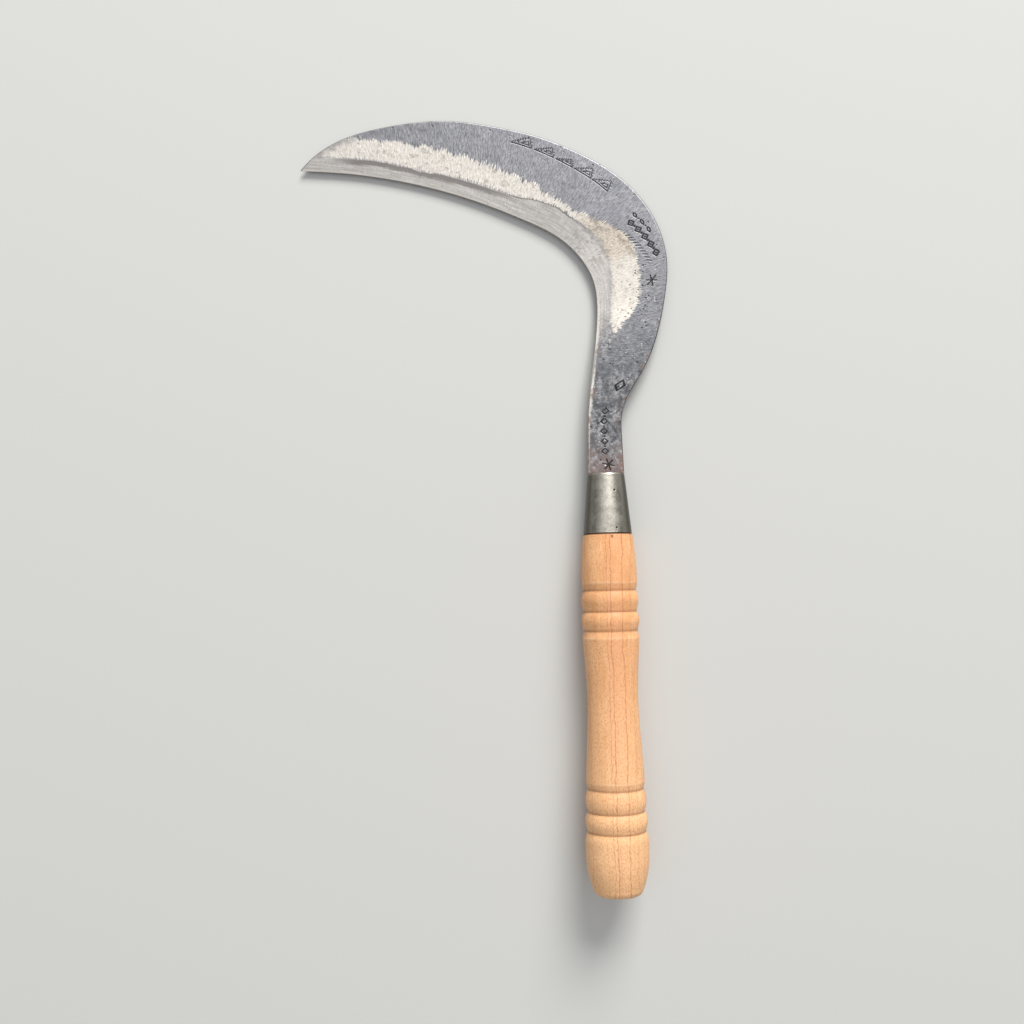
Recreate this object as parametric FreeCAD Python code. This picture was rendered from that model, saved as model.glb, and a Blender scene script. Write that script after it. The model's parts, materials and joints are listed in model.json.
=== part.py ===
import FreeCAD, Part
import math
import os

# A hand sickle: a forged blade with its tang, a tapered ferrule and a turned wooden handle.
# Millimetres. Everything is built in the tool's own frame first: the origin is on the handle's
# axis where the ferrule meets the wood, +Y runs towards the blade, and the blade lies in the
# plane z = 0. At the end the tool is laid on the ground (z = 0) the way it comes to rest.

# --- blade -------------------------------------------------------------------------------------
blade_thickness = 3.0      # of the spine, and of the whole field that isn't ground
edge_land = 0.25           # what is left standing at the cutting edge
hone_drop = 1.9            # how far the coarse grind has dropped where the honed bevel begins
tip_width = 0.6            # the blunt end of the point
tip_slant = 0.2            # how far the edge's end of it stands back
neck_width = 20.8          # where its shoulders stand on the ferrule
blade_reach = 172.0        # from the handle's axis out to the point
drawn_reach = 172.0        # the reach that the outlines below are drawn at

# The outlines are drawn from the middle of the shoulders. This is the spine as forged, from the
# point to the root of the neck.
spine_points = [(-172.0, 183.4), (-167.5, 187.8), (-154.0, 197.0), (-142.0, 201.8), (-124.0, 206.0),
                (-101.0, 208.7), (-79.0, 208.1), (-57.0, 204.0), (-37.0, 198.7), (-11.0, 187.5),
                (12.0, 172.6), (25.0, 159.0), (35.0, 140.5), (38.8, 120.0), (37.0, 102.0),
                (31.5, 78.5), (22.5, 58.0), (13.5, 43.5), (10.0, 32.0), (9.8, 22.0)]

# The cutting side, from the point along the edge to the heel, and on down the blunt neck.
edge_points = [(-144.5, 180.0), (-114.5, 174.4), (-72.0, 161.4), (-42.5, 148.6), (-22.0, 136.8),
               (-10.3, 124.5), (-4.0, 112.0), (-2.2, 100.0), (-2.7, 86.0), (-3.8, 75.5)]
heel_point = (-5.0, 67.0)
neck_points = [(-8.2, 43.0), (-9.6, 20.0)]

# Where the coarse grind begins and where the honed bevel begins, from the point to the heel.
grind_points = [(-150.0, 192.3), (-121.0, 196.5), (-92.0, 191.6), (-64.0, 182.6), (-34.0, 167.6),
                (-8.0, 150.6), (13.0, 137.5), (21.5, 122.0), (21.5, 104.0), (14.0, 86.0)]
hone_points = [(-150.0, 185.5), (-121.0, 184.0), (-92.0, 177.6), (-66.0, 171.0), (-38.0, 159.4),
               (-13.0, 146.0), (0.5, 132.5), (6.3, 116.0), (6.3, 100.0), (2.5, 83.0)]
grind_run_out = 32.0       # both grinds come up to the surface over this distance before the heel

# --- tang --------------------------------------------------------------------------------------
tang_root_width = 14.5
tang_root_thickness = 3.0
tang_end_width = 5.0
tang_end_thickness = 2.2
tang_depth = 66.0          # how far it is driven into the wood below the ferrule

# --- ferrule -----------------------------------------------------------------------------------
ferrule_length = 34.0
ferrule_front_radius = 10.4
ferrule_rear_radius = 13.6
ferrule_wall = 1.1
prick_radius = 0.45        # two prick-punch dimples stake the ferrule to the wood
prick_depth = 0.4
prick_stations = (3.0, 24.0)
prick_angle = 20.0         # from the top towards the spine's side, in degrees

# --- handle ------------------------------------------------------------------------------------
shoulder_radius = 13.9     # of the wood behind the ferrule
tenon_setback = 3.0        # how far the tenon stops short of the ferrule's mouth
fit_clearance = 0.05       # round the tenon in the ferrule, and round the tang in the wood
tang_end_gap = 2.0         # air left below the tang's end in the hole burnt for it

handle_length = 198.4      # from the ferrule's rear edge to the butt's face

# The turning, as (distance, radius). The front group is measured back from the shoulder.
swell_crest = (14.0, 15.2)
swell_edge = (27.6, 15.65)
front_grooves = [(31.8, 14.6), (43.6, 14.8), (54.2, 15.0)]
front_beads = [((35.0, 15.85), (39.4, 15.75)), ((46.8, 16.05), (50.8, 15.9))]
grip_front = (58.2, 15.95)

# The grip's waist, as (share of the grip's length, radius).
grip_waist = [(0.16, 14.95), (0.48, 14.2), (0.76, 15.2)]

# The rear group is measured forward from the butt's face.
grip_rear = (61.2, 16.3)
rear_grooves = [(57.4, 15.4), (45.0, 15.6), (34.2, 16.0)]
rear_beads = [((52.8, 16.75), (48.1, 16.6)), ((41.2, 17.15), (37.6, 17.05))]
butt_radius = 17.5         # of the short cylinder round the butt's fullest part
butt_cylinder = (28.6, 21.6)
butt_rise = (31.6, 17.08)
butt_barrel = (11.9, 16.55)
butt_corner = (3.8, 14.3)
butt_round = (1.1, 13.05)
butt_face_radius = 11.9

# --- laying it down ----------------------------------------------------------------------------
steel_density = 7.85e-6    # kg per cubic millimetre
wood_density = 0.65e-6
sag_tolerance = 0.2        # how finely the surfaces are sampled to find where they touch
tilt_range = (0.0, 12.0)   # degrees, searched for the tilt at rest
roll_range = (-6.0, 6.0)
search_steps = 26


def at(point, z):
    return FreeCAD.Vector(point[0], point[1], z)


def outline(points):
    """Outline points brought to the blade's size, standing on the ferrule's mouth."""
    size = blade_reach / drawn_reach
    return [(x * size, y * size + ferrule_length) for x, y in points]


def spline(points, z):
    curve = Part.BSplineCurve()
    curve.interpolate([at(p, z) for p in points])
    return curve.toShape()


def rising_spline(points, z, end_z):
    """A curve at height z that comes up to end_z over the last stretch before its end."""
    curve = Part.BSplineCurve()
    risen = []
    for point in points:
        share = max(0.0, 1.0 - math.dist(point, points[-1]) / grind_run_out) ** 2
        risen.append(at(point, z + (end_z - z) * share))
    curve.interpolate(risen)
    return curve.toShape()


def line(a, b):
    return Part.makeLine(a, b)


def closed_face(edges):
    return Part.Face(Part.Wire(Part.sortEdges(edges)[0]))


def blade_body():
    """The flat of the blade and its neck, ground on the upper side only."""
    top = blade_thickness / 2
    bottom = -top
    hone_z = top - hone_drop
    edge_z = bottom + edge_land
    shoulder = ferrule_length
    half_neck = neck_width / 2

    spine = outline(spine_points)
    heel = outline([heel_point])
    spine_tip = spine[0]
    edge_tip = (spine_tip[0] + tip_slant, spine_tip[1] - tip_width)
    hone_tip = tuple((a + b) / 2 for a, b in zip(spine_tip, edge_tip))
    spine_end = (half_neck, shoulder)
    edge_end = (-half_neck, shoulder)
    spine_xy = spine + [spine_end]
    edge_xy = [edge_tip] + outline(edge_points) + heel
    neck_xy = heel + outline(neck_points) + [edge_end]
    grind_xy = [spine_tip] + outline(grind_points) + heel
    hone_xy = [hone_tip] + outline(hone_points) + heel

    spine_top = spline(spine_xy, top)
    spine_bottom = spline(spine_xy, bottom)
    neck_top = spline(neck_xy, top)
    neck_bottom = spline(neck_xy, bottom)
    edge_bottom = spline(edge_xy, bottom)
    edge_upper = rising_spline(edge_xy, edge_z, top)
    grind = spline(grind_xy, top)
    hone = rising_spline(hone_xy, hone_z, top)

    end_top = line(at(spine_end, top), at(edge_end, top))
    end_bottom = line(at(spine_end, bottom), at(edge_end, bottom))
    spine_post = line(at(spine_end, top), at(spine_end, bottom))
    edge_post = line(at(edge_end, top), at(edge_end, bottom))
    tip_bottom = line(at(spine_tip, bottom), at(edge_tip, bottom))

    faces = [
        closed_face([spine_top, end_top, neck_top, grind]),
        closed_face([spine_bottom, end_bottom, neck_bottom, edge_bottom, tip_bottom]),
        Part.makeRuledSurface(spine_top, spine_bottom),
        Part.makeRuledSurface(neck_top, neck_bottom),
        Part.makeRuledSurface(grind, hone),
        Part.makeRuledSurface(hone, edge_upper),
        Part.makeRuledSurface(edge_upper, edge_bottom),
        closed_face([end_top, spine_post, end_bottom, edge_post]),
        closed_face([line(at(spine_tip, top), at(hone_tip, hone_z)),
                     line(at(hone_tip, hone_z), at(edge_tip, edge_z)),
                     line(at(edge_tip, edge_z), at(edge_tip, bottom)),
                     tip_bottom,
                     line(at(spine_tip, bottom), at(spine_tip, top))]),
    ]
    shell = Part.makeShell(faces)
    shell.sewShape()
    solid = Part.makeSolid(shell)
    if solid.Volume < 0:
        solid.reverse()
    return solid


def tang(width_extra, length_extra):
    """The tapered tang; the extras open it out into the hole that takes it."""
    stations = [(ferrule_length, tang_root_width, tang_root_thickness),
                (-tang_depth - length_extra, tang_end_width, tang_end_thickness)]
    wires = []
    for y, width, thickness in stations:
        half_w = width / 2 + width_extra
        half_t = thickness / 2 + width_extra
        corners = [FreeCAD.Vector(sx * half_w, y, sz * half_t)
                   for sx, sz in ((-1, -1), (1, -1), (1, 1), (-1, 1), (-1, -1))]
        wires.append(Part.makePolygon(corners))
    return Part.makeLoft(wires, True, True)


def make_blade():
    return blade_body().fuse(tang(0.0, 0.0)).Solids[0]


def turned(edges):
    """Spins a closed outline, drawn as (radius, station), round the handle's axis."""
    return closed_face(edges).revolve(FreeCAD.Vector(0, 0, 0), FreeCAD.Vector(0, 1, 0), 360)


def rim_point(station, radius):
    return FreeCAD.Vector(radius, station, 0)


def arc(a, b, c):
    return Part.Arc(rim_point(*a), rim_point(*b), rim_point(*c)).toShape()


def straight(a, b):
    return line(rim_point(*a), rim_point(*b))


def ferrule_radius(station):
    share = station / ferrule_length
    return ferrule_rear_radius + (ferrule_front_radius - ferrule_rear_radius) * share


def make_ferrule():
    corners = [(0.0, ferrule_rear_radius), (ferrule_length, ferrule_front_radius),
               (ferrule_length, ferrule_front_radius - ferrule_wall),
               (0.0, ferrule_rear_radius - ferrule_wall)]
    collar = turned([straight(a, b) for a, b in zip(corners, corners[1:] + corners[:1])])
    for station in prick_stations:
        radius = ferrule_radius(station)
        prick = Part.makeCone(0, prick_radius, prick_depth, FreeCAD.Vector(0, station, radius - prick_depth))
        prick.rotate(FreeCAD.Vector(0, 0, 0), FreeCAD.Vector(0, 1, 0), prick_angle)
        collar = collar.cut(prick).Solids[0]
    return collar


def beaded(grooves, beads):
    """V-cuts with a bead between each two: a round rise, then a straight cut down."""
    edges = []
    for groove, (crest, edge), following in zip(grooves, beads, grooves[1:]):
        edges.append(arc(groove, crest, edge))
        edges.append(straight(edge, following))
    return edges


def from_shoulder(points):
    return [(-distance, radius) for distance, radius in points]


def from_butt(points):
    return [(distance - handle_length, radius) for distance, radius in points]


def handle_outline():
    """The turned outline from the tenon's end to the butt, then back up the axis."""
    tenon_end = ferrule_length - tenon_setback
    inset = ferrule_wall + fit_clearance
    axis_front = (tenon_end, 0.0)
    tenon_front = (tenon_end, ferrule_radius(tenon_end) - inset)
    tenon_rear = (0.0, ferrule_rear_radius - inset)
    shoulder = (0.0, shoulder_radius)
    crest, edge, front = from_shoulder([swell_crest, swell_edge, grip_front])
    grooves = from_shoulder(front_grooves)
    edges = [straight(axis_front, tenon_front), straight(tenon_front, tenon_rear)]
    edges += [straight(tenon_rear, shoulder), arc(shoulder, crest, edge), straight(edge, grooves[0])]
    edges += beaded(grooves, [from_shoulder(bead) for bead in front_beads])
    edges.append(straight(grooves[-1], front))

    rear, rise = from_butt([grip_rear, butt_rise])
    waist = [(front[0] + share * (rear[0] - front[0]), radius) for share, radius in grip_waist]
    grip = Part.BSplineCurve()
    grip.interpolate([rim_point(*p) for p in [front] + waist + [rear]])
    edges.append(grip.toShape())

    grooves = from_butt(rear_grooves)
    full_front, full_rear = from_butt([(distance, butt_radius) for distance in butt_cylinder])
    barrel, corner, rounding = from_butt([butt_barrel, butt_corner, butt_round])
    face_rim, axis_rear = from_butt([(0.0, butt_face_radius), (0.0, 0.0)])
    edges.append(straight(rear, grooves[0]))
    edges += beaded(grooves, [from_butt(bead) for bead in rear_beads])
    edges += [arc(grooves[-1], rise, full_front), straight(full_front, full_rear)]
    edges += [arc(full_rear, barrel, corner), arc(corner, rounding, face_rim)]
    edges += [straight(face_rim, axis_rear), straight(axis_rear, axis_front)]
    return edges


def make_handle():
    return turned(handle_outline()).cut(tang(fit_clearance, tang_end_gap)).Solids[0]


def heights(points, tilt, roll):
    """How high points stand after the tool rolls about its axis and tilts its blade down."""
    roll_cos, roll_sin = math.cos(math.radians(roll)), math.sin(math.radians(roll))
    tilt_cos, tilt_sin = math.cos(math.radians(tilt)), math.sin(math.radians(tilt))
    return [(z * roll_cos + x * roll_sin) * tilt_cos - y * tilt_sin for x, y, z in points]


def lowest_at(function, low, high):
    """Where a function with a single valley is lowest, and its value there."""
    for step in range(search_steps):
        third = (high - low) / 3
        if function(low + third) < function(high - third):
            high -= third
        else:
            low += third
    middle = (low + high) / 2
    return middle, function(middle)


def resting_angles(pieces):
    """The tilt and roll at which the tool lies still: where its weight hangs lowest."""
    densities = {"blade": steel_density, "ferrule": steel_density, "handle": wood_density}
    underside = []
    mass = 0.0
    moment = FreeCAD.Vector(0, 0, 0)
    for name, solid in pieces.items():
        underside += [(v.x, v.y, v.z) for v in solid.tessellate(sag_tolerance)[0] if v.z < 0]
        weight = solid.Volume * densities[name]
        mass += weight
        moment += solid.CenterOfMass * weight
    centre = moment * (1.0 / mass)

    def weight_height(tilt, roll):
        return heights([tuple(centre)], tilt, roll)[0] - min(heights(underside, tilt, roll))

    def best_roll(tilt):
        return lowest_at(lambda roll: weight_height(tilt, roll), *roll_range)

    tilt = lowest_at(lambda angle: best_roll(angle)[1], *tilt_range)[0]
    return tilt, best_roll(tilt)[0]


def lay_down(pieces):
    """Turns every piece to its resting place, then centres the whole over the origin."""
    tilt, roll = resting_angles(pieces)
    origin = FreeCAD.Vector(0, 0, 0)
    for solid in pieces.values():
        solid.rotate(origin, FreeCAD.Vector(0, 1, 0), -roll)
        solid.rotate(origin, FreeCAD.Vector(1, 0, 0), -tilt)
    box = Part.makeCompound(list(pieces.values())).optimalBoundingBox(False, False)
    shift = FreeCAD.Vector(-(box.XMin + box.XMax) / 2, -(box.YMin + box.YMax) / 2, -box.ZMin)
    for solid in pieces.values():
        solid.translate(shift)
    return tilt, roll, shift


pieces = {"blade": make_blade(), "ferrule": make_ferrule(), "handle": make_handle()}
tilt, roll, shift = lay_down(pieces)

os.makedirs("parts", exist_ok=True)
for name, shape in pieces.items():
    shape.exportStep("parts/" + name + ".step")
    print(name, shape.ShapeType, shape.isValid(), len(shape.Solids), round(shape.Volume, 1))
print("tilt %.3f roll %.3f shift %.3f %.3f %.3f" % (tilt, roll, shift.x, shift.y, shift.z))
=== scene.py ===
import json
import math
import random

import bmesh
import bpy
import numpy as np
from mathutils import Matrix, Vector, noise


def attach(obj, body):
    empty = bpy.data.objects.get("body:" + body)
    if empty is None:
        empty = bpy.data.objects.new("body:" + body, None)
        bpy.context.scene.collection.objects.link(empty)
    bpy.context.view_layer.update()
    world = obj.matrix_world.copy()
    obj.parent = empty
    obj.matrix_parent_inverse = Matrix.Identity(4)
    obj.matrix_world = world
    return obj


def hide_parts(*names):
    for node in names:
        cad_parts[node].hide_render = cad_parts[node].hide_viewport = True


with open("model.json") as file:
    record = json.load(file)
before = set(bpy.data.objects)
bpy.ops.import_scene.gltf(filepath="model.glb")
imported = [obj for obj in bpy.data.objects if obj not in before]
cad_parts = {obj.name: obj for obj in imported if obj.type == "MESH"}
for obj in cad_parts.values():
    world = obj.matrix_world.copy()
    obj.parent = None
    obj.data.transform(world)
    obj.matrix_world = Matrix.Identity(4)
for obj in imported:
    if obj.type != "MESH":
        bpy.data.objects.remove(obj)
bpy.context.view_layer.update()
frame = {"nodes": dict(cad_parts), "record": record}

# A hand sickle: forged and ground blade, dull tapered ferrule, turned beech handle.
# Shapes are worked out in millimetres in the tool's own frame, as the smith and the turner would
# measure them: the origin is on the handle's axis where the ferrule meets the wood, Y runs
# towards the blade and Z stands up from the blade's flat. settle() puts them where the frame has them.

MM = 0.001

# --- sizes, in millimetres ---------------------------------------------------------------------
BLADE_THICKNESS = 3.0
FERRULE_LENGTH = 34.0
FERRULE_FRONT = 10.4
FERRULE_REAR = 13.6
FERRULE_WALL = 1.1
PRICK_STATIONS = (3.0, 24.0)
PRICK_ANGLE = math.radians(20.0)
PRICK_DEPTH, PRICK_REACH = 0.4, 0.6
TANG_DEPTH = 66.0
TANG_ROOT = (14.5, 2.9)
TANG_END = (5.0, 2.2)
TANG_OVERLAP = 0.4
TENON_SETBACK = 3.0
FIT_CLEARANCE = 0.05
HANDLE_LENGTH = 198.4
SHOULDER_RADIUS = 13.9
BUTT_RADIUS = 17.5
BUTT_FACE_RADIUS = 11.9

# The blade's outlines from the middle of its shoulders: the spine, and the cutting side.
SPINE = [(10.4, 0), (9.8, 22), (10, 32), (13.5, 43.5), (22.5, 58), (31.5, 78.5), (37, 102), (38.8, 120),
         (35, 140.5), (25, 159), (12, 172.6), (-11, 187.5), (-37, 198.7), (-57, 204), (-79, 208.1),
         (-101, 208.7), (-124, 206), (-142, 201.8), (-154, 197), (-167.5, 187.8), (-172, 183.4)]
EDGE = [(-10.4, 0), (-9.6, 20), (-8.2, 43), (-5, 67), (-3.8, 75.5), (-2.7, 86), (-2.2, 100), (-4, 112),
        (-10.3, 124.5), (-22, 136.8), (-42.5, 148.6), (-72, 161.4), (-114.5, 174.4), (-144.5, 180),
        (-171.8, 182.8)]

# Which share of the spine's length lies straight across from which share of the edge's.
ACROSS = [(0, 0), (0.08, 0.10), (0.16, 0.20), (0.28, 0.323), (0.38, 0.412), (0.49, 0.486), (0.56, 0.53),
          (0.63, 0.59), (0.74, 0.713), (0.86, 0.84), (0.95, 0.945), (1, 1)]

# The grinds, against the distance along the spine: how far from the edge the coarse grind begins,
# how far from it the honed bevel begins, and how high the edge itself stands.
COARSE = [(0, 1.3), (60, 1.4), (72, 4), (84, 12), (97, 18.5), (106, 24), (118, 25.6), (137, 28.8),
          (156, 28.4), (170, 23), (194, 18), (227, 20.6), (247, 22), (282, 22.6), (305, 23),
          (328, 21.8), (385, 21.4)]
HONED = [(0, 1.2), (60, 1.2), (72, 2.0), (84, 5.4), (92, 7.4), (104, 7.6), (122, 9.8), (137, 12.6), (164, 15),
         (189, 13.8), (210, 14.2), (238, 11), (279, 9.8), (303, 8.6), (328, 9.6), (361, 8.6), (385, 8)]
EDGE_HEIGHT = [(0, 1.1), (60, 1.0), (74, 0.6), (88, -0.4), (102, -1.15), (120, -1.25), (385, -1.25)]
COARSE_SLOPE = 0.11
SPINE_ROUND = 0.55
MARK_DEPTH = 0.22

# The rows of punched marks, from and to: (along, from the spine). The border's base line is one more.
ROW_ONE = [(160.8, 9.0), (148.8, 6.0)]
ROW_TWO = [(157.5, 13.4), (134, 5.9)]
ROW_THREE = [(151, 18.5), (130.5, 10.5)]
NECK_ROW = [(36, 10), (13, 10.2)]
BORDER_LINE = [(184, 11.2), (253, 7.4)]

# The hatched teeth on the border's line: where each one starts along it, its length and height.
BORDER_TEETH = [(184, 13, 5.8), (198, 12.5, 5.4), (212, 11.5, 3.6), (225.5, 12.5, 4.8), (240, 13, 5.6)]

# The handle's turned outline, as (distance, radius): the front half is measured back from the
# shoulder, and the rear half forward from the end of the butt.
FRONT_SWELL = [(0.6, SHOULDER_RADIUS), (14.0, 15.2), (27.6, 15.65)]
FRONT_GROOVES = [(31.8, 14.6), (43.6, 14.8), (54.2, 15.0)]
FRONT_BEADS = [[(35.0, 15.85), (39.4, 15.75)], [(46.8, 16.05), (50.8, 15.9)]]
GRIP_FRONT, GRIP_REAR = (58.2, 15.95), (61.2, 16.3)
REAR_GROOVES = [(57.4, 15.4), (45.0, 15.6), (34.2, 16.0)]
REAR_BEADS = [[(52.8, 16.75), (48.1, 16.6)], [(41.2, 17.15), (37.6, 17.05)]]
BUTT_FULL = [(28.6, BUTT_RADIUS), (21.6, BUTT_RADIUS)]
BUTT_CURVE = [(31.6, 17.08), (11.9, 16.55), (3.8, 14.3), (1.1, 13.05)]

# The grip's waist: the share of the way from its front to its rear, and the radius there.
WAIST = [(0.16, 14.95), (0.48, 14.2), (0.76, 15.2)]

# The camera: focal length in parts of a frame 1024 wide, its place in metres and its turn in degrees.
FOCAL_LENGTH, HALF_FRAME = 1100, 512
CAMERA_PLACE = (0.04015, -0.01653, 0.63675)
CAMERA_TURN = (0.717, 2.525, -1.567)

# The wood's dark growth lines: how far off the axis, half their width, how dark.
GROWTH_LINES = [(-0.8, 0.45, 0.5), (1.4, 0.5, 0.75), (8.0, 0.5, 0.7), (-13.0, 0.4, 0.25), (12.5, 0.45, 0.3)]

# --- where the tool lies -----------------------------------------------------------------------


def tool_place():
    """The tool's own frame in the row frame, read from the butt's mount and the CAD solids."""
    butt = next(m for m in frame["record"]["mounts"] if m["name"] == "butt_face")
    along = -Vector(butt["axis"]).normalized()
    down = Vector((0, 0, 0))
    for face in frame["nodes"]["blade"].data.polygons:
        if face.normal.z < -0.95:
            down += face.normal * face.area
    up = -(down - along * down.dot(along)).normalized()
    side = along.cross(up)
    rear = min(v.co.dot(along) for v in frame["nodes"]["ferrule"].data.vertices)
    start = Vector(butt["pos_m"])
    origin = start + along * (rear - start.dot(along))
    return Matrix.Translation(origin) @ Matrix((side, along, up)).transposed().to_4x4()


TOOL = tool_place()


def settle(bm, name, node, material):
    """Finishes a piece: from tool millimetres to row metres, smooth, on its body."""
    bm.transform(TOOL @ Matrix.Scale(MM, 4))
    mesh = bpy.data.meshes.new(name)
    bm.to_mesh(mesh)
    bm.free()
    mesh.shade_smooth()
    piece = bpy.data.objects.new(name, mesh)
    bpy.context.scene.collection.objects.link(piece)
    piece.data.materials.append(material)
    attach(piece, "root")
    if node:
        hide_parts(node)
    return piece


# --- curves ------------------------------------------------------------------------------------


def flowing(points, count=1500):
    """The smooth curve through some points, as many points along it."""
    p = np.array(points, float)
    knots = np.concatenate([[0.0], np.cumsum(np.linalg.norm(np.diff(p, axis=0), axis=1))])
    gap = np.diff(knots)
    last = len(p) - 1
    system = np.eye(last + 1)
    bend = np.zeros_like(p)
    for i in range(1, last):
        system[i, i - 1:i + 2] = gap[i - 1], 2 * (gap[i - 1] + gap[i]), gap[i]
        bend[i] = 6 * ((p[i + 1] - p[i]) / gap[i] - (p[i] - p[i - 1]) / gap[i - 1])
    bend = np.linalg.solve(system, bend)
    t = np.linspace(0, knots[-1], count)
    k = np.clip(np.searchsorted(knots, t, side="right") - 1, 0, last - 1)
    b = ((t - knots[k]) / gap[k])[:, None]
    a = 1 - b
    square = (gap[k] ** 2)[:, None] / 6
    return a * p[k] + b * p[k + 1] + ((a ** 3 - a) * bend[k] + (b ** 3 - b) * bend[k + 1]) * square


def lengths(curve):
    return np.concatenate([[0.0], np.cumsum(np.linalg.norm(np.diff(curve, axis=0), axis=1))])


def read(table, where):
    """A value from a smooth curve through (where, value) pairs."""
    curve = flowing(table)
    return np.interp(where, curve[:, 0], curve[:, 1])


spine_line = flowing(SPINE)
edge_line = flowing(EDGE)
spine_lengths = lengths(spine_line)
edge_lengths = lengths(edge_line)
SPINE_LENGTH = spine_lengths[-1]


def rib(along):
    """The two ends of the line across the blade at a distance along its spine."""
    share = np.asarray(along) / SPINE_LENGTH
    other = read(ACROSS, share)
    spine = [np.interp(share * SPINE_LENGTH, spine_lengths, spine_line[:, i]) for i in (0, 1)]
    edge = [np.interp(other * edge_lengths[-1], edge_lengths, edge_line[:, i]) for i in (0, 1)]
    return np.stack(spine, -1), np.stack(edge, -1)


def ripple(x, y, z, size, seed):
    """Smooth random relief between -1 and 1, for lumps of about that size."""
    return noise.noise(Vector((x / size + seed, y / size, z / size)))


# --- materials ---------------------------------------------------------------------------------


class Nodes:
    """A short way to write a node tree."""

    def __init__(self, tree):
        self.tree = tree

    def add(self, kind, inputs=None, **settings):
        node = self.tree.nodes.new("ShaderNode" + kind)
        for name, value in settings.items():
            setattr(node, name, value)
        for name, value in (inputs or {}).items():
            self.feed(node.inputs[name], value)
        return node

    def feed(self, socket, value):
        if isinstance(value, bpy.types.NodeSocket):
            self.tree.links.new(value, socket)
        else:
            socket.default_value = value

    def math(self, operation, a, b=0.0, clamp=False):
        node = self.add("Math", operation=operation, use_clamp=clamp)
        self.feed(node.inputs[0], a)
        self.feed(node.inputs[1], b)
        return node.outputs[0]

    def ramp(self, value, low, high, out_low=0.0, out_high=1.0):
        """value stretched from between low and high, softly, to between the two outputs."""
        node = self.add("MapRange", interpolation_type="SMOOTHSTEP")
        for name, v in (("Value", value), ("From Min", low), ("From Max", high),
                        ("To Min", out_low), ("To Max", out_high)):
            self.feed(node.inputs[name], v)
        return node.outputs["Result"]

    def mix(self, share, a, b, blend="MIX"):
        node = self.add("Mix", data_type="RGBA", blend_type=blend)
        self.feed(node.inputs[0], share)
        self.feed(node.inputs[6], a)
        self.feed(node.inputs[7], b)
        return node.outputs[2]

    def noise(self, vector, scale, detail=2.0, roughness=0.5, distortion=0.0):
        return self.add("TexNoise", {"Vector": vector, "Scale": scale, "Detail": detail,
                                     "Roughness": roughness, "Distortion": distortion}).outputs["Fac"]

    def stretched(self, vector, scale, offset=(0, 0, 0)):
        """A pattern's coordinates, with a number of repeats to the unit along each axis."""
        return self.add("Mapping", {"Vector": vector, "Scale": scale, "Location": offset}).outputs[0]


def effect(name, sockets, outputs, build):
    """A shader node group: sockets in as (name, default), outputs as (name, kind)."""
    group = bpy.data.node_groups.new(name, "ShaderNodeTree")
    for label, default in sockets:
        kind = "NodeSocketVector" if label == "Vector" else "NodeSocketFloat"
        socket = group.interface.new_socket(label, in_out="INPUT", socket_type=kind)
        if default is not None:
            socket.default_value = default
    for label, kind in outputs:
        group.interface.new_socket(label, in_out="OUTPUT", socket_type=kind)
    n = Nodes(group)
    source = group.nodes.new("NodeGroupInput")
    sink = group.nodes.new("NodeGroupOutput")
    for label, value in build(n, source.outputs).items():
        n.feed(sink.inputs[label], value)
    return group


def use(n, group, **values):
    node = n.tree.nodes.new("ShaderNodeGroup")
    node.node_tree = group
    for name, value in values.items():
        n.feed(node.inputs[name.replace("_", " ")], value)
    return node.outputs


def new_material(name):
    material = bpy.data.materials.new(name)
    material.use_nodes = True
    n = Nodes(material.node_tree)
    shader = material.node_tree.nodes["Principled BSDF"]
    return material, n, shader


def colour(r, g, b):
    return (r, g, b, 1.0)


def scratches_build(n, given):
    """Scratches along the second coordinate: a body of fine ones, and a few long pale ones."""
    lean = n.add("Mapping", {"Vector": given["Vector"], "Rotation": (0, 0, 0.16)}).outputs[0]
    cross = n.add("Mapping", {"Vector": given["Vector"], "Rotation": (0, 0, -0.24)}).outputs[0]
    broad = n.noise(n.stretched(lean, (1.25, 0.27, 1.25)), given["Scale"], 3.0, 0.65)
    fine = n.noise(n.stretched(cross, (2.9, 0.42, 2.9), (7, 3, 1)), given["Scale"], 2.0, 0.6)
    long = n.noise(n.stretched(lean, (2.0, 0.06, 2.0), (19, 5, 2)), given["Scale"], 1.0, 0.5)
    body = n.math("ADD", n.math("MULTIPLY", broad, 0.58), n.math("MULTIPLY", fine, 0.42))
    return {"Body": n.ramp(body, 0.36, 0.64), "Long": n.ramp(long, 0.64, 0.74)}


def pits_build(n, given):
    """Small scattered pits: 1 in the middle of a pit, 0 between them."""
    cells = n.add("TexVoronoi", {"Vector": given["Vector"], "Scale": given["Density"], "Randomness": 1.0})
    chosen = n.add("TexWhiteNoise", {"Vector": cells.outputs["Position"]}, noise_dimensions="3D")
    keep = n.math("LESS_THAN", chosen.outputs["Value"], given["Share"])
    hole = n.ramp(cells.outputs["Distance"], given["Size"], 0.02, 0.0, 1.0)
    return {"Pits": n.math("MULTIPLY", keep, hole)}


def mottle_build(n, given):
    """Cloudy patches, with a finer grain on them."""
    cloud = n.noise(given["Vector"], given["Scale"], 4.0, 0.62)
    grain = n.noise(given["Vector"], n.math("MULTIPLY", given["Scale"], 9.0), 2.0, 0.6)
    both = n.math("ADD", n.math("MULTIPLY", cloud, 0.62), n.math("MULTIPLY", grain, 0.38))
    return {"Cloud": n.ramp(cloud, 0.34, 0.66), "Grain": n.ramp(grain, 0.34, 0.66),
            "Both": n.ramp(both, 0.36, 0.64)}


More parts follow.
